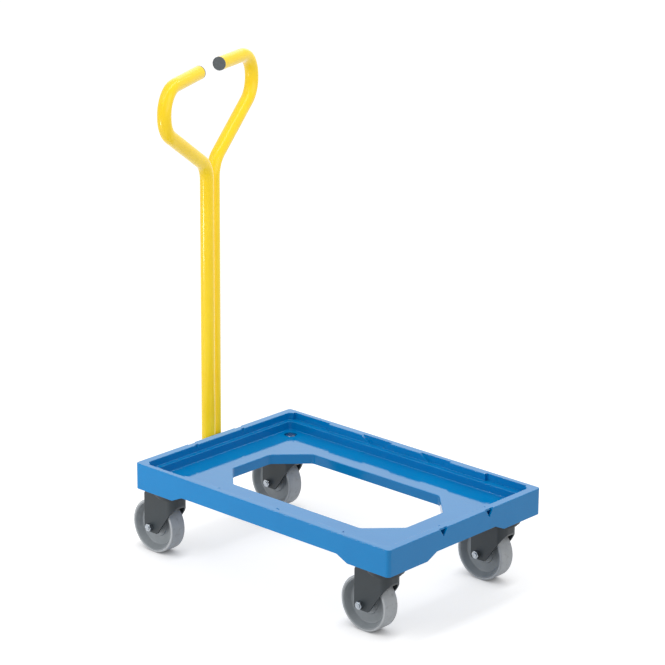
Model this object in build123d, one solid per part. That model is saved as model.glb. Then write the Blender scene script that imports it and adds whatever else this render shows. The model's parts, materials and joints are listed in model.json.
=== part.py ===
from build123d import *
import os
from math import atan2, pi, radians, sin, sqrt, tan

# Container dolly: a moulded deck on four swivel casters, with a plug-in push handle made of two tubes.
# Millimetres. Z is up, the ground is Z = 0, and X runs along the deck, with the handle at its low end.
# The origin is on the ground, at the middle of the whole outline's box.

# Deck
deck_length = 600.0
deck_width = 400.0
deck_height = 48.0  # rim top down to the caster seats
deck_corner_radius = 7.0
wall = 3.5
rim_width = 15.5
rim_edge_radius = 1.2
ledge_depth = 13.0  # rim top down to the ledge that carries a container
ledge_width = 9.0
ledge_edge_radius = 0.8
well_corner_radius = 7.5
floor_depth = 28.0  # rim top down to the floor
floor_edge_radius = 1.5
opening_margin_ends = 94.0  # deck's short faces in to the opening
opening_margin_sides = 96.5  # deck's long faces in to the opening
opening_chamfer = 55.0
opening_corner_radius = 12.0
flange_depth = 18.0  # floor down to the lower edge of the wall round the opening
skirt_depth = 37.0  # rim top down to the raised edge of the skirt between the casters
skirt_foot_along = 92.0  # full-depth skirt at each end of a long side
skirt_foot_across = 99.0  # full-depth skirt at each end of a short side
skirt_cut_slope = 24.0
skirt_cut_radius = 7.0

# Details of the rim
recess_depth = 5.5
recess_offset = 70.0
recess_top_length = 70.0
recess_bottom_length = 30.0
corner_recess_length = 89.5
corner_recess_gap = 8.0  # short inner walls to the recesses at the corners
notch_offset = 60.0
notch_width = 20.0
notch_depth = 15.0
inner_notch_width = 9.0
inner_notch_depth = 7.0

# Ribs and caster seats under the floor
rib_thickness = 2.5
rib_depth = 12.0
bays_along = 8
bays_across = 6
seat_radius = 29.0
pocket_radius = 12.0
pocket_depth = 9.0

# Casters
caster_inset_ends = 46.5  # deck's short faces in to the kingpins
caster_inset_sides = 47.0  # deck's long faces in to the kingpins
caster_height = 129.0
caster_trail = 36.0
head_radius = 32.0
head_thickness = 3.0
head_lip_depth = 10.0
kingpin_radius = 9.0
kingpin_flange_radius = 15.0
kingpin_flange_thickness = 2.5
ball_radius = 4.0
ball_count = 14
ball_ring_radius = 21.0
race_gap = 1.0
race_height = 2.7
thrust_ring_height = 3.0

# Fork
fork_plate = 3.0
fork_front = 20.0  # kingpin axis forward to the front web
fork_corner_radius = 15.0
fork_web_drop = 18.0
cheek_rear = 16.0  # axle back to the cheek's rear edge
cheek_toe = 16.0  # axle forward to the cheek's front lower corner
cheek_foot = 10.5  # axle down to the cheek's lower edge
cheek_radius = 5.0

# Wheels
wheel_diameter = 100.0
wheel_width = 32.0
wheel_side_gap = 2.0
tyre_thickness = 4.0
tyre_edge_radius = 2.0
core_rim_thickness = 2.0
core_rim_width = 31.0
core_web_width = 8.0
core_dish_taper = 6.5  # how much less the dish's radius is at the web than at its mouth
core_fillet_radius = 2.0
core_disc_radius = 22.0
core_disc_width = 12.0
core_hub_radius = 13.0
core_edge_radius = 1.2
wheel_bush_wall = 2.0
wheel_bush_length = 13.0
wheel_bush_flange = 2.0
axle_sleeve_radius = 6.0

# Handle
handle_turn = 19.3  # how far the handle stands turned in its socket
tube_radius = 12.5
tube_wall = 2.0
loop_half_width = 178.0
crotch_height = 680.0
loop_rise = 97.0  # crotch up to the corner where a loop's side begins
loop_straight = 3.65  # straight part of a loop's side between its bends
loop_end_rise = 4.5  # upper corner of a loop's side up to the tube's end
loop_end_offset = 42.0
bend_radius = 45.0
cap_thickness = 3.0
cap_edge_radius = 1.2
cap_plug_length = 15.0
foot_thickness = 5.0
foot_margin = 3.0  # tube's wall out to the foot's edge

# Handle socket
socket_length = 70.0
socket_wall = 3.0
socket_weld = 1.0
socket_plate_thickness = 4.0
socket_plate_width = 102.0
socket_plate_height = 52.0
socket_plate_top_depth = 11.0  # rim top down to the plate's upper edge
socket_plate_radius = 4.0
socket_top_depth = 30.0  # rim top down to the socket's upper end
bush_wall = 1.2
bush_flange_width = 1.2
bush_flange_thickness = 3.0
socket_bolt_offset = 40.0
socket_bolt_depth = 13.0  # plate's upper edge down to its bolts

# Fasteners: thread radius, width across the flats, head, nut and washer heights
seat_bolt_radius = 5.0
seat_bolt_across = 17.0
seat_bolt_head = 6.4
seat_nut_height = 8.0
seat_washer_radius = 10.5
seat_washer_height = 2.0
axle_bolt_radius = 4.0
axle_bolt_across = 13.0
axle_bolt_head = 5.3
axle_nut_height = 8.0
socket_bolt_radius = 3.0
socket_bolt_across = 10.0
socket_bolt_head = 4.0
socket_nut_height = 5.0
socket_washer_radius = 6.0
socket_washer_height = 1.6
bolt_tail = 1.5
hex_chamfer = 0.06  # of the width across the flats

# Clearances
running = 0.05  # radial, round a turning or sliding shaft
bolt_clearance = 0.25  # radial, round a bolt's shank
face_gap = 0.3  # between flat faces that move past each other
ball_gap = 0.15
plate_gap = 0.5
nut_room = 1.0  # kept free of ribs round the socket's nuts
tube_gap = 0.2
post_gap = 0.5  # deck's short face to the handle's foot
overcut = 1.0

# Heights and places worked out from the sizes above
seat_height = caster_height
rim_height = seat_height + deck_height
ledge_height = rim_height - ledge_depth
floor_height = rim_height - floor_depth
flange_height = floor_height - flange_depth
skirt_height = rim_height - skirt_depth
pocket_height = floor_height - pocket_depth
well_length = deck_length - 2 * rim_width
well_width = deck_width - 2 * rim_width
opening_length = deck_length - 2 * opening_margin_ends
opening_width = deck_width - 2 * opening_margin_sides
seat_x = deck_length / 2 - caster_inset_ends
seat_y = deck_width / 2 - caster_inset_sides
wheel_radius = wheel_diameter / 2
cheek_inside = wheel_width / 2 + wheel_side_gap
cheek_outside = cheek_inside + fork_plate
head_bottom = seat_height - head_thickness
race_top = head_bottom - 2 * (ball_radius + ball_gap)
crown_top = race_top - race_height
crown_bottom = crown_top - fork_plate
kingpin_flange_top = crown_bottom - thrust_ring_height - face_gap
kingpin_bottom = kingpin_flange_top - kingpin_flange_thickness
post_half = tube_radius + tube_gap / 2
lower_bend = atan2(loop_half_width - post_half, loop_rise)
upper_bend = pi / 2 - atan2(loop_end_rise, loop_half_width - loop_end_offset)
loop_side_length = bend_radius * (tan(lower_bend / 2) + tan(upper_bend / 2)) + loop_straight
loop_side_bottom = crotch_height + loop_rise
loop_side_top = loop_side_bottom + loop_side_length
loop_end_height = loop_side_top + loop_end_rise
foot_radius = tube_radius + foot_margin
socket_offset = post_gap + foot_radius
socket_x = -(deck_length / 2 + socket_offset)
socket_top = rim_height - socket_top_depth
socket_bottom = socket_top - socket_length
bush_radius = tube_radius + running + bush_wall
bush_flange_radius = bush_radius + bush_flange_width
socket_bore = bush_radius + running
socket_radius = socket_bore + socket_wall
plate_x = socket_x + socket_radius - socket_weld
plate_seat_x = plate_x + socket_plate_thickness
plate_top = rim_height - socket_plate_top_depth
plate_bottom = plate_top - socket_plate_height
plate_middle = (plate_top + plate_bottom) / 2
socket_bolt_height = plate_top - socket_bolt_depth
socket_wall_inside = socket_plate_thickness + wall  # from the plate's outer face, as the next two
socket_nut_start = socket_wall_inside + socket_washer_height
socket_nut_end = socket_nut_start + socket_nut_height
foot_bottom = socket_top + face_gap + bush_flange_thickness + face_gap
foot_top = foot_bottom + foot_thickness
handle_reach = socket_offset + (post_half + loop_half_width) * sin(radians(handle_turn)) + tube_radius
frame_shift = handle_reach / 2

corners = {"front_left": (1, 1), "front_right": (1, -1), "rear_left": (-1, 1), "rear_right": (-1, -1)}


def block(x, y, z):
    """Box that fills three (low, high) spans."""
    spans = (x, y, z)
    middle = [(low + high) / 2 for low, high in spans]
    size = [high - low for low, high in spans]
    return Pos(*middle) * Box(*size)


def slab(length, width, radius, bottom, top):
    """Upright prism on a rectangle with rounded corners."""
    return Pos(0, 0, bottom) * extrude(RectangleRounded(length, width, radius), top - bottom)


def rod(radius, bottom, top):
    """Upright round bar on the Z axis."""
    return Pos(0, 0, bottom) * extrude(Circle(radius), top - bottom)


def cone(bottom_radius, top_radius, bottom, top):
    """Upright round bar on the Z axis whose radius changes evenly."""
    return Pos(0, 0, (bottom + top) / 2) * Cone(bottom_radius, top_radius, top - bottom)


def ring(outer, inner, bottom, top):
    """Upright tube on the Z axis."""
    return Pos(0, 0, bottom) * extrude(Circle(outer) - Circle(inner), top - bottom)


def prism(points, direction, depth, radius=0.0):
    """Solid from an outline of points in one plane, its corners rounded, pushed along a direction."""
    outline = make_face(Polyline(*points, close=True))
    if radius > 0:
        outline = fillet(outline.vertices(), radius)
    return extrude(outline, depth, dir=direction)


def hexagon(across, bottom, top):
    """Upright hexagon bar whose upper corners are turned down."""
    bar = Pos(0, 0, bottom) * extrude(RegularPolygon(across / 2, 6, major_radius=False), top - bottom)
    turned = rod(across / sqrt(3), bottom, top)
    turned = chamfer(turned.faces().sort_by(Axis.Z)[-1].edges(), across * hex_chamfer)
    return bar & turned


def at_level(shape, height):
    """Edges that lie flat at a height."""
    return shape.edges().filter_by_position(Axis.Z, height, height)


def opening(grow, bottom, top):
    """Prism of the deck's eight-sided opening, with its sides moved out."""
    outline = Rectangle(opening_length + 2 * grow, opening_width + 2 * grow)
    outline = chamfer(outline.vertices(), opening_chamfer + grow * (2 - sqrt(2)))
    outline = fillet(outline.vertices(), opening_corner_radius + grow)
    return Pos(0, 0, bottom) * extrude(outline, top - bottom)


def both_sides(shape, plane):
    """A shape and its mirror image."""
    return [shape, mirror(shape, plane)]


def rim_recesses(grow):
    """Shallow recesses in the upper inner walls of the long sides, grown by a wall where asked."""
    face_y = well_width / 2 - well_corner_radius
    depth = well_corner_radius + recess_depth + grow
    top = rim_height + overcut
    low = ledge_height - grow
    half_top = recess_top_length / 2 + grow
    half_low = recess_bottom_length / 2 + grow
    shapes = []
    for middle in (-recess_offset, recess_offset):
        outline = [
            (middle - half_low, face_y, low),
            (middle + half_low, face_y, low),
            (middle + half_top, face_y, rim_height),
            (middle + half_top, face_y, top),
            (middle - half_top, face_y, top),
            (middle - half_top, face_y, rim_height),
        ]
        shapes += both_sides(prism(outline, (0, 1, 0), depth), Plane.XZ)
    corner_end = well_length / 2 - corner_recess_gap
    corner = block(
        (corner_end - corner_recess_length - grow, corner_end + grow),
        (face_y, face_y + depth),
        (low, top),
    )
    for shape in both_sides(corner, Plane.YZ):
        shapes += both_sides(shape, Plane.XZ)
    return shapes


def rim_notches():
    """Pointed notches through both walls of the short rims."""
    cuts = []
    outer_face = deck_length / 2
    inner_face = well_length / 2
    for width, depth, start in (
        (notch_width, notch_depth, outer_face - wall),
        (inner_notch_width, inner_notch_depth, inner_face - overcut),
    ):
        for y in (-notch_offset, notch_offset):
            outline = [
                (start, y - width / 2, rim_height),
                (start, y, rim_height - depth),
                (start, y + width / 2, rim_height),
                (start, y + width / 2, rim_height + overcut),
                (start, y - width / 2, rim_height + overcut),
            ]
            cuts += both_sides(prism(outline, (1, 0, 0), wall + overcut), Plane.YZ)
    return cuts


def skirt_cuts():
    """Raised lower edge of the skirt between the casters, on all four sides."""
    depth = rim_width + ledge_width - wall
    low = seat_height - 2 * skirt_cut_radius
    rise = skirt_height - seat_height
    run = skirt_cut_slope / rise * (skirt_height - low)
    cuts = []
    half_top = deck_length / 2 - skirt_foot_along - skirt_cut_slope
    start = deck_width / 2 - depth
    outline = [
        (-half_top - run, start, low),
        (-half_top, start, skirt_height),
        (half_top, start, skirt_height),
        (half_top + run, start, low),
    ]
    cuts += both_sides(prism(outline, (0, 1, 0), depth + overcut, skirt_cut_radius), Plane.XZ)
    half_top = deck_width / 2 - skirt_foot_across - skirt_cut_slope
    start = deck_length / 2 - depth
    outline = [
        (start, -half_top - run, low),
        (start, -half_top, skirt_height),
        (start, half_top, skirt_height),
        (start, half_top + run, low),
    ]
    cuts += both_sides(prism(outline, (1, 0, 0), depth + overcut, skirt_cut_radius), Plane.YZ)
    return cuts


def rib_grid():
    """Crossing ribs that stiffen the floor from below."""
    bottom = floor_height - wall - rib_depth
    half_length = deck_length / 2
    half_width = deck_width / 2
    ribs = []
    for step in range(bays_along + 1):
        x = -seat_x + step * 2 * seat_x / bays_along
        span = (x - rib_thickness / 2, x + rib_thickness / 2)
        ribs.append(block(span, (-half_width, half_width), (bottom, rim_height)))
    for step in range(bays_across + 1):
        y = -seat_y + step * 2 * seat_y / bays_across
        span = (y - rib_thickness / 2, y + rib_thickness / 2)
        ribs.append(block((-half_length, half_length), span, (bottom, rim_height)))
    return ribs


def socket_seat(grow):
    """Shallow pocket in the short outer face that takes the socket's plate."""
    half = socket_plate_width / 2 + plate_gap + grow
    outside = -deck_length / 2 - overcut
    top = plate_top + plate_gap + grow
    return block((outside, plate_seat_x + grow), (-half, half), (seat_height - overcut, top))


def under_cavity():
    """Everything that is hollow below the rim, the ledge and the floor, apart from ribs and seats."""
    below = seat_height - overcut
    inner_length = deck_length - 2 * wall
    inner_width = deck_width - 2 * wall
    inside = slab(inner_length, inner_width, deck_corner_radius - wall, below, rim_height - wall)
    well_radius = well_corner_radius + wall
    upper_length = well_length + 2 * wall
    upper_width = well_width + 2 * wall
    upper_wall = slab(upper_length, upper_width, well_radius, below, rim_height)
    lower_length = upper_length - 2 * ledge_width
    lower_width = upper_width - 2 * ledge_width
    lower_wall = slab(lower_length, lower_width, well_radius, below, rim_height)
    under_ledge = slab(deck_length, deck_width, deck_corner_radius, below, ledge_height - wall)
    under_floor = slab(deck_length, deck_width, deck_corner_radius, below, floor_height - wall)
    cavity = inside - upper_wall
    cavity += (inside & under_ledge) - lower_wall
    cavity += inside & under_floor
    cavity -= opening(wall, flange_height, floor_height)
    cavity -= rim_recesses(wall)
    cavity -= rib_grid()
    cavity -= socket_seat(wall)
    for x, y in corners.values():
        cavity -= Pos(x * seat_x, y * seat_y, 0) * rod(seat_radius, seat_height, floor_height)
    return cavity


def deck_frame():
    """Moulded deck with rim, ledge, floor, middle opening, skirt, ribs and caster seats."""
    deck = slab(deck_length, deck_width, deck_corner_radius, seat_height, rim_height)
    deck -= slab(well_length, well_width, well_corner_radius, ledge_height, rim_height + overcut)
    lower_length = well_length - 2 * ledge_width
    lower_width = well_width - 2 * ledge_width
    deck -= slab(lower_length, lower_width, well_corner_radius, floor_height, rim_height)
    deck -= opening(0, seat_height - overcut, rim_height)
    deck = fillet(at_level(deck, rim_height), rim_edge_radius)
    deck = fillet(at_level(deck, ledge_height), ledge_edge_radius)
    deck = fillet(at_level(deck, floor_height), floor_edge_radius)
    deck -= under_cavity()
    deck -= rim_recesses(0)
    deck -= rim_notches()
    deck -= skirt_cuts()
    deck -= socket_seat(0)
    for x, y in corners.values():
        place = Pos(x * seat_x, y * seat_y, 0)
        deck -= place * rod(pocket_radius, pocket_height, floor_height + overcut)
        deck -= place * rod(seat_bolt_radius + bolt_clearance, seat_height - overcut, floor_height)
    for place in socket_bolt_places():
        room_end = socket_nut_end + bolt_tail + nut_room
        deck -= place * rod(socket_bolt_radius + bolt_clearance, 0, socket_wall_inside)
        deck -= place * rod(socket_washer_radius + nut_room, socket_wall_inside, room_end)
    return deck


def seat_bolt():
    """Bolt that holds a caster, with its head in the deck's pocket."""
    head_bottom_height = pocket_height + seat_washer_height
    head = hexagon(seat_bolt_across, head_bottom_height, head_bottom_height + seat_bolt_head)
    return head + rod(seat_bolt_radius, kingpin_bottom - seat_nut_height - bolt_tail, head_bottom_height)


def seat_washer():
    """Washer under a caster bolt's head."""
    return ring(
        seat_washer_radius,
        seat_bolt_radius + bolt_clearance,
        pocket_height,
        pocket_height + seat_washer_height,
    )


def seat_nut():
    """Nut under a caster's kingpin."""
    nut = hexagon(seat_bolt_across, -kingpin_bottom, seat_nut_height - kingpin_bottom)
    nut -= rod(seat_bolt_radius + running, -kingpin_bottom, seat_nut_height - kingpin_bottom)
    return Rot(180, 0, 0) * nut


def caster_head():
    """Upper race of a caster: a cup pressed onto a hollow kingpin with a riveted flange."""
    lip_inner = head_radius - head_thickness
    head = rod(head_radius, head_bottom, seat_height)
    head += ring(head_radius, lip_inner, seat_height - head_lip_depth - head_thickness, seat_height)
    head = fillet(at_level(head, seat_height), head_thickness / 2)
    head += rod(kingpin_radius, kingpin_bottom, seat_height)
    head += rod(kingpin_flange_radius, kingpin_bottom, kingpin_flange_top)
    return head - rod(seat_bolt_radius + bolt_clearance, kingpin_bottom, seat_height)


def fork_plan(inset, bottom, top):
    """Upright prism of the fork's plan, with round front corners and its sides moved in."""
    front = fork_front - inset
    back = -caster_trail - cheek_rear - 2 * fork_corner_radius
    plan = slab(front - back, 2 * (cheek_outside - inset), fork_corner_radius - inset, bottom, top)
    return Pos((front + back) / 2, 0, 0) * plan


def fork():
    """Pressed fork: crown with a ball race, two cheeks and a rounded front web."""
    rear = -caster_trail - cheek_rear
    toe = -caster_trail + cheek_toe
    foot = wheel_radius - cheek_foot
    web_bottom = crown_top - fork_web_drop
    side = cheek_outside + overcut
    outline = [
        (rear, -side, foot),
        (toe, -side, foot),
        (fork_front, -side, web_bottom),
        (fork_front, -side, crown_top),
        (rear, -side, crown_top),
    ]
    body = prism(outline, (0, 1, 0), 2 * side, cheek_radius)
    body &= fork_plan(0, foot - overcut, crown_top + overcut)
    body -= fork_plan(fork_plate, foot - overcut, crown_bottom)
    body += rod(head_radius - head_thickness - race_gap, crown_bottom, race_top)
    body -= rod(kingpin_radius + running, crown_bottom - overcut, race_top + overcut)
    axle_hole = Rot(90, 0, 0) * rod(axle_bolt_radius + bolt_clearance, -cheek_outside, cheek_outside)
    return body - Pos(-caster_trail, 0, wheel_radius) * axle_hole


def swivel_balls():
    """Ring of balls between the head and the fork."""
    height = race_top + ball_gap + ball_radius
    places = PolarLocations(ball_ring_radius, ball_count)
    return Compound([Pos(0, 0, height) * place * Sphere(ball_radius) for place in places])


def thrust_ring():
    """Plain ring under the crown that runs on the kingpin's flange."""
    bottom = crown_bottom - thrust_ring_height
    return ring(kingpin_flange_radius, kingpin_radius + running, bottom, crown_bottom)


def on_axle(shape):
    """Turn a piece made on the Z axis so that it lies on the wheel's axle, its top towards minus Y."""
    return Pos(-caster_trail, 0, wheel_radius) * Rot(90, 0, 0) * shape


def axle_bolt():
    """Axle bolt with its head at the far cheek and its end through the nut."""
    head = Rot(180, 0, 0) * hexagon(axle_bolt_across, cheek_outside, cheek_outside + axle_bolt_head)
    return on_axle(head + rod(axle_bolt_radius, -cheek_outside, cheek_outside + axle_nut_height + bolt_tail))


def axle_nut():
    """Nut on the axle bolt's end."""
    nut = hexagon(axle_bolt_across, cheek_outside, cheek_outside + axle_nut_height)
    return on_axle(nut - rod(axle_bolt_radius + running, cheek_outside, cheek_outside + axle_nut_height))


def axle_sleeve():
    """Spacer tube that the wheel turns on, clamped between the cheeks."""
    return on_axle(ring(axle_sleeve_radius, axle_bolt_radius + bolt_clearance, -cheek_inside, cheek_inside))


def wheel_bushes():
    """Two flanged plain bushes pressed into the hub."""
    bore = axle_sleeve_radius + running
    outer = bore + wheel_bush_wall
    flange_outside = cheek_inside - face_gap
    flange_inside = wheel_width / 2
    bush = ring(outer, bore, flange_inside - wheel_bush_length, flange_outside)
    bush += ring(outer + wheel_bush_flange, bore, flange_inside, flange_outside)
    return Compound([on_axle(half) for half in both_sides(bush, Plane.XY)])


def wheel_core():
    """Moulded wheel centre: rim, dished web, disc and hub."""
    rim_radius = wheel_radius - tyre_thickness
    bore = axle_sleeve_radius + running + wheel_bush_wall
    hub = ring(core_hub_radius, bore, -wheel_width / 2, wheel_width / 2)
    disc = rod(core_disc_radius, -core_disc_width / 2, core_disc_width / 2)
    disc = fillet(disc.edges().filter_by(GeomType.CIRCLE), core_edge_radius)
    mouth_radius = rim_radius - core_rim_thickness
    dish = cone(mouth_radius - core_dish_taper, mouth_radius, core_web_width / 2, core_rim_width / 2)
    dish = fillet(at_level(dish, core_web_width / 2), core_fillet_radius)
    core = rod(rim_radius, -core_rim_width / 2, core_rim_width / 2)
    core -= both_sides(dish, Plane.XY)
    core += disc
    core -= rod(core_hub_radius, -wheel_width, wheel_width)
    return on_axle(core + hub)


def tyre():
    """Tyre with rounded shoulders on the core's rim."""
    band = rod(wheel_radius, -wheel_width / 2, wheel_width / 2)
    band = fillet(band.edges().filter_by(GeomType.CIRCLE), tyre_edge_radius)
    return on_axle(band - rod(wheel_radius - tyre_thickness, -wheel_width, wheel_width))


def handle_path(side, bottom):
    """Centre line of one handle tube, in the handle's plane, with the socket's axis at zero."""
    post = post_half + side * post_half
    outer = post_half + side * loop_half_width
    end = post_half + side * loop_end_offset
    points = [
        (post, 0, bottom),
        (post, 0, crotch_height),
        (outer, 0, loop_side_bottom),
        (outer, 0, loop_side_top),
        (end, 0, loop_end_height),
    ]
    return FilletPolyline(*points, radius=bend_radius)


def in_socket(shape):
    """Stand a handle piece in the socket, turned as it stands there."""
    return Pos(socket_x, 0, 0) * Rot(0, 0, 90 + handle_turn) * shape


def handle_tube(side, bottom):
    """One bent tube of the handle, from its foot to the open end of its half loop."""
    path = handle_path(side, bottom)
    section = Circle(tube_radius) - Circle(tube_radius - tube_wall)
    return in_socket(sweep(Plane(origin=path @ 0, z_dir=path % 0) * section, path=path))


def end_cap(side, bottom):
    """Plug with a rounded head in the open end of a tube."""
    path = handle_path(side, bottom)
    head = rod(tube_radius, 0, cap_thickness)
    head = fillet(head.faces().sort_by(Axis.Z)[-1].edges(), cap_edge_radius)
    plug = rod(tube_radius - tube_wall - running, -cap_plug_length, 0)
    return in_socket(Plane(origin=path @ 1, z_dir=path % 1) * (head + plug))


def handle_foot():
    """Plate welded to both tubes, which carries the handle on the bush."""
    outline = SlotCenterToCenter(2 * post_half, 2 * foot_radius)
    plate = Pos(post_half, 0, foot_bottom) * extrude(outline, foot_thickness)
    return in_socket(plate - rod(tube_radius + running, foot_bottom, foot_top))


def handle_bush():
    """Flanged plain bush that the handle turns in and lifts out with."""
    bore = tube_radius + running
    flange_bottom = socket_top + face_gap
    bush = ring(bush_radius, bore, socket_bottom, flange_bottom)
    bush += ring(bush_flange_radius, bore, flange_bottom, flange_bottom + bush_flange_thickness)
    return Pos(socket_x, 0, 0) * bush


def socket_bolt_places():
    """Places on the socket's plate where its bolts pass, with Z pointing into the deck."""
    sides = (-socket_bolt_offset, socket_bolt_offset)
    return [Pos(plate_x, y, socket_bolt_height) * Rot(0, 90, 0) for y in sides]


def handle_socket():
    """Steel socket: a short tube welded to a plate on the deck's short side."""
    plate = Rectangle(socket_plate_height, socket_plate_width)
    plate = fillet(plate.vertices(), socket_plate_radius)
    body = Pos(plate_x, 0, plate_middle) * Rot(0, 90, 0) * extrude(plate, socket_plate_thickness)
    body += Pos(socket_x, 0, 0) * rod(socket_radius, socket_bottom, socket_top)
    body -= Pos(socket_x, 0, 0) * rod(socket_bore, socket_bottom, socket_top)
    for place in socket_bolt_places():
        body -= place * rod(socket_bolt_radius + bolt_clearance, -overcut, socket_plate_thickness + overcut)
    return body


def socket_fasteners():
    """Bolts, washers and nuts that hold the socket's plate to the deck's wall."""
    bolt_hole = socket_bolt_radius + bolt_clearance
    head = Rot(180, 0, 0) * hexagon(socket_bolt_across, 0, socket_bolt_head)
    bolt = head + rod(socket_bolt_radius, 0, socket_nut_end + bolt_tail)
    washer = ring(socket_washer_radius, bolt_hole, socket_wall_inside, socket_nut_start)
    nut = hexagon(socket_bolt_across, socket_nut_start, socket_nut_end)
    nut -= rod(socket_bolt_radius + running, socket_nut_start, socket_nut_end)
    return {"bolts": bolt, "washers": washer, "nuts": nut}


def save(name, shape):
    """Write one named piece, in the frame of the whole object."""
    export_step(Pos(frame_shift, 0, 0) * shape, os.path.join("parts", name + ".step"))


def save_group(name, shape, places):
    """Write identical pieces as one group of separate solids."""
    save(name, Compound([place * shape for place in places]))


def main():
    os.makedirs("parts", exist_ok=True)
    seats = {name: Pos(x * seat_x, y * seat_y, 0) for name, (x, y) in corners.items()}
    save("deck_frame", deck_frame())
    save_group("caster_bolts", seat_bolt(), seats.values())
    save_group("caster_washers", seat_washer(), seats.values())
    save_group("caster_nuts", seat_nut(), seats.values())
    caster_pieces = {
        "caster_head": caster_head(),
        "fork": fork(),
        "swivel_balls": swivel_balls(),
        "thrust_ring": thrust_ring(),
        "axle_bolt": axle_bolt(),
        "axle_nut": axle_nut(),
        "axle_sleeve": axle_sleeve(),
        "wheel_bushes": wheel_bushes(),
        "wheel_core": wheel_core(),
        "tyre": tyre(),
    }
    for corner, place in seats.items():
        for piece, shape in caster_pieces.items():
            save(piece + "_" + corner, place * shape)
    save("handle_socket", handle_socket())
    for piece, shape in socket_fasteners().items():
        save_group("socket_" + piece, shape, socket_bolt_places())
    save("handle_bush", handle_bush())
    save("handle_foot", handle_foot())
    for name, side, bottom in (("right", -1, socket_bottom), ("left", 1, foot_top)):
        save("handle_tube_" + name, handle_tube(side, bottom))
        save("end_cap_" + name, end_cap(side, bottom))


main()
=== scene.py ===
import json
from math import acos, atan2, ceil, cos, pi, radians, sin, sqrt

import bpy
from mathutils import Color, Matrix, Vector


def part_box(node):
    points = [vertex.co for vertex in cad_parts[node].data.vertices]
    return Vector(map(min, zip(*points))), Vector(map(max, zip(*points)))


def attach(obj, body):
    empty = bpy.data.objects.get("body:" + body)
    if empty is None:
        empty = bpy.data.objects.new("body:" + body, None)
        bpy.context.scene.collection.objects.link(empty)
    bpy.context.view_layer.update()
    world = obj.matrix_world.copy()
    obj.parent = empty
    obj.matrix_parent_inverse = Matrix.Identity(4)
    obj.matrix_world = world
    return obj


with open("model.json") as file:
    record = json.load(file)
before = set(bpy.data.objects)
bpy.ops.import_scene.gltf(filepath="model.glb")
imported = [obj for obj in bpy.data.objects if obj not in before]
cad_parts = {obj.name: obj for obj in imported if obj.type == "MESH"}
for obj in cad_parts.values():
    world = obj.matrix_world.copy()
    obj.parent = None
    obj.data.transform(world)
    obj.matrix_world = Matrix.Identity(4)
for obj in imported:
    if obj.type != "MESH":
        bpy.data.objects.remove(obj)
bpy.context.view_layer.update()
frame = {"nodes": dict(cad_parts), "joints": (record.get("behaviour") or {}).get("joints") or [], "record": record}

# Container dolly: finishes for the moulded deck, the casters and the handle, weld beads, and a plain studio.
# Metres. Z is up, the ground is Z = 0, and the handle stands at the low end of X.


def srgb(red, green, blue):
    """Linear colour from display values between 0 and 255."""
    shares = [value / 255 for value in (red, green, blue)]
    return (*Color(shares).from_srgb_to_scene_linear(), 1.0)


# Camera
camera_azimuth = radians(42.35)
camera_elevation = radians(17.85)
camera_roll = radians(-0.45)
camera_distance = 4.8473
camera_lens = 149.35  # millimetres, like the sensor
camera_sensor = 36.0
picture_side = 0.006  # the deck's middle lies this far to the right of the picture's centre
picture_rise = 0.2503  # the picture's centre lies this far above the deck's rim

# Studio
floor_size = 40.0
floor_color = srgb(230, 230, 231)  # as it throws light back
floor_color_seen = srgb(203, 203, 204)  # as it is seen, below its glow
floor_glow = 0.62  # share of white that the floor shows even in the deck's shadow
contact_reach = 0.03  # how near to a piece the floor's glow fades, as painted contact shadow
contact_samples = 8
room_light = 0.6  # share of white that the room gives off as a light

# Distant lamps: the share of white that a facing white surface shows, the direction that the lamp stands in,
# and how wide it looks
key_level = 0.1
key_azimuth = radians(-125)
key_elevation = radians(46)
key_spread = radians(30)
back_level = 0.14
back_azimuth = radians(132)
back_elevation = radians(20)
back_spread = radians(50)
post_level = 0.36  # lights the handle alone
post_azimuth = radians(5)
post_elevation = radians(12)
post_spread = radians(60)

# Lamp panels: the share of white that a white surface would show at the middle of the deck if it faced the
# panel and the panel were small, where the panel stands from there, and how large it is
fill_level = 0.19
fill_place = Vector((-0.65, -1.2, 0.07))
fill_width = 0.3
fill_height = 0.15
strip_level = 0.54
strip_place = Vector((0.0, 0.0, 2.45))
strip_width = 0.4
strip_length = 7.0  # across the deck, so that the shadows are soft in that direction

# Colours
deck_blue = srgb(0, 133, 200)
deck_blue_deep = srgb(0, 128, 195)
deck_scuff = srgb(70, 160, 214)
paint_yellow = srgb(253, 217, 30)
paint_yellow_deep = srgb(251, 212, 22)
cap_grey = srgb(74, 80, 83)
cap_grey_pale = srgb(84, 90, 93)
coat_grey = srgb(33, 42, 47)
coat_grey_pale = srgb(39, 48, 53)
coat_chip = srgb(128, 130, 132)
tyre_grey = srgb(184, 188, 191)
tyre_grey_deep = srgb(174, 178, 181)
tyre_dirt = srgb(138, 140, 141)
core_grey = srgb(142, 148, 152)
core_grey_deep = srgb(132, 138, 142)
zinc_pale = srgb(190, 196, 202)
zinc_deep = srgb(150, 157, 164)
race_grey = srgb(158, 160, 162)
race_grey_deep = srgb(136, 139, 142)
ball_silver = srgb(228, 229, 231)
ball_silver_deep = srgb(212, 214, 217)
nylon_cream = srgb(226, 222, 208)
nylon_cream_deep = srgb(214, 209, 194)

# Patterns
cloud_detail = 4.0
cloud_span = (0.3, 0.7)  # values of the pattern between which a finish goes from one tone to the other
grain_detail = 2.0
edge_samples = 6
edge_span = (0.7, 0.98)  # likeness of the softened and the plain surface, from an edge to a face
seam_width = 0.0004
seam_height = 0.00025

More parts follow.
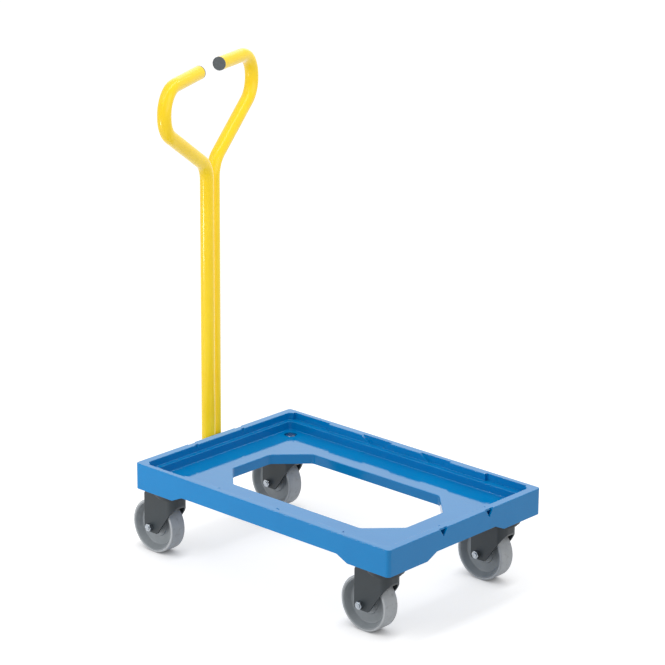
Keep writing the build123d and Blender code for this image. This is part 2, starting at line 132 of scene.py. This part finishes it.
# Weld beads
tube_radius = 0.0125
bead_radius = 0.002
bead_sink = 0.0007  # how far a bead's middle lies out of the corner that it fills
bead_step = 0.0003
bead_sides = 12
bead_end = 0.5  # of a step, by which a bead's end faces lie inside its round ends
ripple_length = 0.0018
ripple_depth = 0.22
stitch_length = 0.025
stitch_heights = (0.22, 0.44, 0.655)  # ground up to the lower ends
stitch_out = 0.0078  # post's middle plane out to the stitches between its tubes
socket_bead_span = (0.117, 0.144)  # heights of the lower and upper ends
socket_bead_side = 0.0082  # middle of the socket out to the beads at its sides
socket_bead_out = 0.0022  # plate's outer face out to the beads beside the socket's tube
socket_overlap = 0.001  # how far the socket's tube lies in its plate

# Directions
ALONG = Vector((1, 0, 0))
UP = Vector((0, 0, 1))

# Sockets of the colour mixing node
MIX_FACTOR = 0
MIX_LOW = 6
MIX_HIGH = 7
MIX_RESULT = 2


def start_material(name):
    """New node material, with its tree and its main shader."""
    material = bpy.data.materials.new(name)
    material.use_nodes = True
    tree = material.node_tree
    return material, tree, tree.nodes["Principled BSDF"]


def add_node(tree, kind, inputs, **settings):
    """Add a node with its settings, and link or set its inputs."""
    node = tree.nodes.new(kind)
    for name, value in settings.items():
        setattr(node, name, value)
    for name, value in inputs.items():
        feed(tree, node.inputs[name], value)
    return node


def feed(tree, socket, value):
    """Link an input to another node's output, or set it to a constant."""
    if isinstance(value, bpy.types.NodeSocket):
        tree.links.new(value, socket)
    else:
        socket.default_value = value


def place_on_piece(tree):
    """Place of a surface point, fixed to its piece."""
    return add_node(tree, "ShaderNodeTexCoord", {}).outputs["Object"]


def noise(tree, size, detail):
    """Cloudy pattern whose spots are about as large as the given size."""
    inputs = {"Vector": place_on_piece(tree), "Scale": 1 / size, "Detail": detail}
    return add_node(tree, "ShaderNodeTexNoise", inputs).outputs["Fac"]


def spread(tree, value, low, high, start=0.0, end=1.0):
    """Spread the values between low and high over start to end."""
    inputs = {"Value": value, "From Min": low, "From Max": high, "To Min": start, "To Max": end}
    return add_node(tree, "ShaderNodeMapRange", inputs).outputs["Result"]


def combine(tree, operation, *values):
    """Result of a math operation on one or two values."""
    return add_node(tree, "ShaderNodeMath", dict(enumerate(values)), operation=operation).outputs["Value"]


def mix_color(tree, factor, low, high):
    """Colour between two colours."""
    inputs = {MIX_FACTOR: factor, MIX_LOW: low, MIX_HIGH: high}
    return add_node(tree, "ShaderNodeMix", inputs, data_type="RGBA").outputs[MIX_RESULT]


def rounded_normal(tree, radius):
    """Surface direction with the sharp edges softened."""
    return add_node(tree, "ShaderNodeBevel", {"Radius": radius}, samples=edge_samples).outputs["Normal"]


def edge_mask(tree, radius, breakup):
    """High along the edges and zero on the faces, broken up by a pattern."""
    soft = rounded_normal(tree, radius)
    plain = add_node(tree, "ShaderNodeNewGeometry", {}).outputs["Normal"]
    inputs = {0: soft, 1: plain}
    likeness = add_node(tree, "ShaderNodeVectorMath", inputs, operation="DOT_PRODUCT").outputs["Value"]
    return combine(tree, "MULTIPLY", spread(tree, likeness, *edge_span, 1.0, 0.0), breakup)


def bumps(tree, height, depth, normal):
    """Surface direction with a pattern of small bumps."""
    inputs = {"Height": height, "Distance": depth, "Normal": normal}
    return add_node(tree, "ShaderNodeBump", inputs).outputs["Normal"]


def tread_seam(tree):
    """High on the thin line that the mould leaves round the middle of a tyre's tread."""
    low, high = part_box("tyre_front_left")
    middle = (low.y + high.y) / 2
    across = add_node(tree, "ShaderNodeSeparateXYZ", {"Vector": place_on_piece(tree)}).outputs["Y"]
    away = combine(tree, "SUBTRACT", combine(tree, "ABSOLUTE", across), middle)
    return spread(tree, combine(tree, "ABSOLUTE", away), 0.0, seam_width, 1.0, 0.0)


def add_wear(tree, base, color, size, span, most, width=0.0):
    """Base colour with worn spots, in a band of the given width along the edges or, at zero width, all over.

    The spots are about as large as the given size. They grow between two values of their pattern, up to the
    most that they cover.
    """
    mask = spread(tree, noise(tree, size, cloud_detail), *span, 0.0, most)
    if width > 0:
        mask = edge_mask(tree, width, mask)
    return mix_color(tree, mask, base, color)


def make_finish(
    name, tones, cloud, grain, grain_depth, edge, roughness, metallic=0.0, ior=1.5, wear=None, seam=False,
):
    """Finish with two cloudy tones, fine grain, softened edges and, where asked for, wear and a tread's seam.

    The cloud, the grain and the edge are sizes. The roughness is given for both tones.
    """
    material, tree, shader = start_material(name)
    clouds = spread(tree, noise(tree, cloud, cloud_detail), *cloud_span)
    color = mix_color(tree, clouds, *tones)
    if wear:
        color = add_wear(tree, color, **wear)
    normal = bumps(tree, noise(tree, grain, grain_detail), grain_depth, rounded_normal(tree, edge))
    if seam:
        normal = bumps(tree, tread_seam(tree), seam_height, normal)
    feed(tree, shader.inputs["Base Color"], color)
    feed(tree, shader.inputs["Roughness"], spread(tree, clouds, 0.0, 1.0, *roughness))
    feed(tree, shader.inputs["Normal"], normal)
    shader.inputs["Metallic"].default_value = metallic
    shader.inputs["IOR"].default_value = ior
    return material


def deck_plastic():
    """Glossy blue plastic, scuffed pale along the edges."""
    return make_finish(
        "deck_plastic", (deck_blue, deck_blue_deep),
        cloud=0.09, grain=0.0012, grain_depth=0.000004, edge=0.0006, roughness=(0.06, 0.09), ior=1.35,
        wear=dict(color=deck_scuff, size=0.014, span=(0.5, 0.75), most=0.5, width=0.0008),
    )


def handle_paint():
    """Smooth yellow powder coat."""
    return make_finish(
        "handle_paint", (paint_yellow, paint_yellow_deep),
        cloud=0.06, grain=0.0022, grain_depth=0.00002, edge=0.0006, roughness=(0.16, 0.22), ior=1.4,
    )


def cap_plastic():
    """Dull dark grey plastic."""
    return make_finish(
        "cap_plastic", (cap_grey, cap_grey_pale),
        cloud=0.006, grain=0.0006, grain_depth=0.00003, edge=0.0005, roughness=(0.42, 0.55),
    )


def coated_steel(name):
    """Dark grey coat on steel, chipped along the edges."""
    return make_finish(
        name, (coat_grey, coat_grey_pale),
        cloud=0.02, grain=0.0014, grain_depth=0.00003, edge=0.0006, roughness=(0.4, 0.52),
        wear=dict(color=coat_chip, size=0.004, span=(0.6, 0.7), most=1.0, width=0.0006),
    )


def bright_steel(name, tones, roughness):
    """Bare or plated steel with a fine grain."""
    return make_finish(
        name, tones,
        cloud=0.005, grain=0.0005, grain_depth=0.00001, edge=0.0004, roughness=roughness, metallic=1.0,
    )


def bush_nylon():
    """Natural nylon."""
    return make_finish(
        "bush_nylon", (nylon_cream, nylon_cream_deep),
        cloud=0.012, grain=0.0008, grain_depth=0.00001, edge=0.0005, roughness=(0.38, 0.48),
    )


def wheel_plastic():
    """Dull grey plastic."""
    return make_finish(
        "wheel_plastic", (core_grey, core_grey_deep),
        cloud=0.015, grain=0.0008, grain_depth=0.00002, edge=0.0006, roughness=(0.34, 0.46),
    )


def tyre_rubber():
    """Pale grey rubber with specks of dirt and a seam round the tread."""
    return make_finish(
        "tyre_rubber", (tyre_grey, tyre_grey_deep),
        cloud=0.02, grain=0.0007, grain_depth=0.00004, edge=0.0008, roughness=(0.45, 0.6), seam=True,
        wear=dict(color=tyre_dirt, size=0.006, span=(0.55, 0.75), most=0.5),
    )


def make_finishes():
    """One finish for each of the record's material slots."""
    return {
        "deck_plastic": deck_plastic(),
        "handle_paint": handle_paint(),
        "cap_plastic": cap_plastic(),
        "fork_steel": coated_steel("fork_steel"),
        "socket_steel": coated_steel("socket_steel"),
        "race_steel": bright_steel("race_steel", (race_grey, race_grey_deep), roughness=(0.3, 0.4)),
        "zinc_steel": bright_steel("zinc_steel", (zinc_pale, zinc_deep), roughness=(0.15, 0.23)),
        "ball_steel": bright_steel("ball_steel", (ball_silver, ball_silver_deep), roughness=(0.05, 0.15)),
        "bush_nylon": bush_nylon(),
        "wheel_plastic": wheel_plastic(),
        "tyre_rubber": tyre_rubber(),
    }


def dress_nodes(finishes):
    """Give every CAD node the finish of its material slot."""
    for entry in frame["record"]["subparts"]:
        piece = frame["nodes"][entry["node"]]
        piece.data.materials.clear()
        piece.data.materials.append(finishes[entry["material_slot"]])


def arc(middle, radius, start, end, height):
    """Closely spaced points round part of a level circle."""
    count = ceil(radius * (end - start) / bead_step)
    angles = [start + (end - start) * step / count for step in range(count + 1)]
    centre = Vector((middle.x, middle.y, height))
    return [centre + Vector((radius * cos(angle), radius * sin(angle), 0)) for angle in angles]


def line(start, end):
    """Closely spaced points along a straight line."""
    count = ceil((end - start).length / bead_step)
    return [start.lerp(end, step / count) for step in range(count + 1)]


def bead_size(index, last):
    """Radius of a bead at one of its points: it swells in ripples and is round at both ends."""
    ripple = index * bead_step / ripple_length % 1.0
    size = bead_radius * (1 - ripple_depth * ripple)
    inward = (min(index, last - index) + bead_end) * bead_step / bead_radius
    if inward < 1:
        size *= sqrt(1 - (1 - inward) ** 2)
    return size


def add_bead(name, points, body, slot, finishes):
    """Rippled bead of weld along a line of points, which rides on a body."""
    last = len(points) - 1
    corners = []
    faces = []
    for index, point in enumerate(points):
        along = (points[min(index + 1, last)] - points[max(index - 1, 0)]).normalized()
        upright = abs(along.z) > along.xy.length
        side = along.cross(ALONG if upright else UP).normalized()
        rise = side.cross(along)
        size = bead_size(index, last)
        start = len(corners)
        for step in range(bead_sides):
            angle = 2 * pi * step / bead_sides
            corners.append(point + (side * cos(angle) + rise * sin(angle)) * size)
            if index > 0:
                here = start + step
                ahead = start + (step + 1) % bead_sides
                faces.append((here, ahead, ahead - bead_sides, here - bead_sides))
    faces.append(tuple(range(bead_sides)))
    faces.append(tuple(reversed(range(len(corners) - bead_sides, len(corners)))))
    mesh = bpy.data.meshes.new(name)
    mesh.from_pydata(corners, [], faces)
    mesh.shade_smooth()
    mesh.materials.append(finishes[slot])
    bead = bpy.data.objects.new(name, mesh)
    bpy.context.scene.collection.objects.link(bead)
    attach(bead, body)
    return bead


def socket_axis():
    """Place on the ground below the axis that the handle turns about in its socket."""
    turn = next(joint for joint in frame["joints"] if joint["name"] == "handle_turn")
    return Vector((*turn["pos_m"][:2], 0.0))


def weld_handle(finishes):
    """Beads round both tubes on the foot plate, and stitches at the back of the post."""
    beads = []
    right_axis = socket_axis()
    foot_low, foot_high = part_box("handle_foot")
    middle = (foot_low + foot_high) / 2
    middle.z = 0.0
    left_axis = middle * 2 - right_axis
    across = (left_axis - right_axis).normalized()
    path_radius = tube_radius + bead_sink
    gap_angle = acos((middle - right_axis).length / path_radius)
    for name, axis, towards in (("right", right_axis, across), ("left", left_axis, -across)):
        heading = atan2(towards.y, towards.x)
        start = heading + gap_angle
        end = heading + 2 * pi - gap_angle
        path = arc(axis, path_radius, start, end, foot_high.z + bead_sink)
        beads.append(add_bead("foot_weld_" + name, path, "handle", "handle_paint", finishes))
    back = UP.cross(across)
    for index, height in enumerate(stitch_heights):
        bottom = middle + back * stitch_out + UP * height
        top = bottom + UP * stitch_length
        name = "post_weld_" + str(index + 1)
        beads.append(add_bead(name, line(bottom, top), "handle", "handle_paint", finishes))
    return beads


def weld_socket(finishes):
    """Beads between the socket's tube and its plate."""
    axis = socket_axis()
    socket_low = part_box("handle_socket")[0]
    socket_radius = axis.x - socket_low.x
    bead_x = axis.x + socket_radius - socket_overlap - socket_bead_out
    bottom, top = socket_bead_span
    for name, side in (("right", -socket_bead_side), ("left", socket_bead_side)):
        foot = Vector((bead_x, axis.y + side, bottom))
        head = Vector((bead_x, axis.y + side, top))
        add_bead("socket_weld_" + name, line(foot, head), "deck", "socket_steel", finishes)


def is_seen(tree):
    """One for a ray that comes from the camera, a mirror or glass, and zero for one that carries light."""
    path = add_node(tree, "ShaderNodeLightPath", {}).outputs
    seen = path["Is Camera Ray"]
    for kind in ("Is Glossy Ray", "Is Transmission Ray"):
        seen = combine(tree, "MAXIMUM", seen, path[kind])
    return seen


def make_floor():
    """Pale floor that is white to the camera in the open and keeps the object's shadow."""
    half = floor_size / 2
    mesh = bpy.data.meshes.new("floor")
    corners = [(-half, -half, 0), (half, -half, 0), (half, half, 0), (-half, half, 0)]
    mesh.from_pydata(corners, [], [range(len(corners))])
    floor = bpy.data.objects.new("floor", mesh)
    bpy.context.scene.collection.objects.link(floor)
    material, tree, shader = start_material("floor")
    seen = is_seen(tree)
    feed(tree, shader.inputs["Base Color"], mix_color(tree, seen, floor_color, floor_color_seen))
    shader.inputs["Roughness"].default_value = 1.0
    shader.inputs["Specular IOR Level"].default_value = 0.0
    # Painted contact shadow: ambient occlusion dims the floor's glow where pieces stand close to it
    inputs = {"Distance": contact_reach}
    clear = add_node(tree, "ShaderNodeAmbientOcclusion", inputs, samples=contact_samples).outputs["AO"]
    strength = combine(tree, "MULTIPLY", combine(tree, "MULTIPLY", seen, clear), floor_glow)
    glow = add_node(tree, "ShaderNodeEmission", {"Strength": strength})
    inputs = {0: shader.outputs["BSDF"], 1: glow.outputs["Emission"]}
    lit = add_node(tree, "ShaderNodeAddShader", inputs)
    tree.links.new(lit.outputs["Shader"], tree.nodes["Material Output"].inputs["Surface"])
    mesh.materials.append(material)


def make_room():
    """White room: plain white to the camera and in reflections, softer as a light."""
    world = bpy.data.worlds.new("room")
    bpy.context.scene.world = world
    world.use_nodes = True
    tree = world.node_tree
    background = tree.nodes["Background"]
    background.inputs["Color"].default_value = (1.0, 1.0, 1.0, 1.0)
    strength = spread(tree, is_seen(tree), 0.0, 1.0, room_light, 1.0)
    tree.links.new(strength, background.inputs["Strength"])


def add_lamp(name, light, away):
    """Lamp in the scene that shines from the given direction."""
    lamp = bpy.data.objects.new(name, light)
    lamp.rotation_euler = (-away).to_track_quat("-Z", "Y").to_euler()
    bpy.context.scene.collection.objects.link(lamp)
    return lamp


def make_lamp(name, level, azimuth, elevation, width, pieces=()):
    """Distant soft lamp, so wide as seen from the object, that lights everything or only the given pieces."""
    light = bpy.data.lights.new(name, "SUN")
    light.energy = level * pi
    light.angle = width
    away = Vector((cos(azimuth) * cos(elevation), sin(azimuth) * cos(elevation), sin(elevation)))
    lamp = add_lamp(name, light, away)
    if pieces:
        lit = bpy.data.collections.new(name)
        for piece in pieces:
            lit.objects.link(piece)
        lamp.light_linking.receiver_collection = lit


def make_panel(name, level, place, width, height, target):
    """Rectangular lamp that faces its target, which it stands away from by the given place."""
    light = bpy.data.lights.new(name, "AREA")
    light.shape = "RECTANGLE"
    light.size = width
    light.size_y = height
    light.energy = level * (pi * place.length) ** 2
    lamp = add_lamp(name, light, place)
    lamp.location = target + place


def make_camera(target):
    """Camera at the photograph's viewing angle. The target is the middle of the deck's rim."""
    forward = Vector((
        -sin(camera_azimuth) * cos(camera_elevation),
        cos(camera_azimuth) * cos(camera_elevation),
        -sin(camera_elevation),
    ))
    level_right = Vector((cos(camera_azimuth), sin(camera_azimuth), 0.0))
    level_down = forward.cross(level_right)
    right = level_right * cos(camera_roll) + level_down * sin(camera_roll)
    up = level_right * sin(camera_roll) - level_down * cos(camera_roll)
    place = target - right * picture_side + up * picture_rise - forward * camera_distance
    turn = Matrix((right, up, -forward)).transposed().to_4x4()
    data = bpy.data.cameras.new("camera")
    data.lens = camera_lens
    data.sensor_width = camera_sensor
    camera = bpy.data.objects.new("camera", data)
    camera.matrix_world = Matrix.Translation(place) @ turn
    bpy.context.scene.collection.objects.link(camera)
    bpy.context.scene.camera = camera


deck_low, deck_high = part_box("deck_frame")
deck_middle = (deck_low + deck_high) / 2
rim_middle = Vector((deck_middle.x, deck_middle.y, deck_high.z))

slot_finishes = make_finishes()
dress_nodes(slot_finishes)
handle_pieces = [frame["nodes"][node] for node in frame["record"]["behaviour"]["bodies"]["handle"]]
handle_pieces += weld_handle(slot_finishes)
weld_socket(slot_finishes)
# In the photograph the handle is lit more evenly than the deck, and has neither a mirror image nor a shadow
for piece in handle_pieces:
    piece.visible_glossy = False
    piece.visible_shadow = False
make_floor()
make_room()
make_lamp("key", key_level, key_azimuth, key_elevation, key_spread)
make_lamp("back", back_level, back_azimuth, back_elevation, back_spread)
make_lamp("post", post_level, post_azimuth, post_elevation, post_spread, handle_pieces)
make_panel("fill", fill_level, fill_place, fill_width, fill_height, deck_middle)
make_panel("strip", strip_level, strip_place, strip_width, strip_length, deck_middle)
make_camera(rim_middle)
bpy.context.scene.view_settings.view_transform = "Standard"
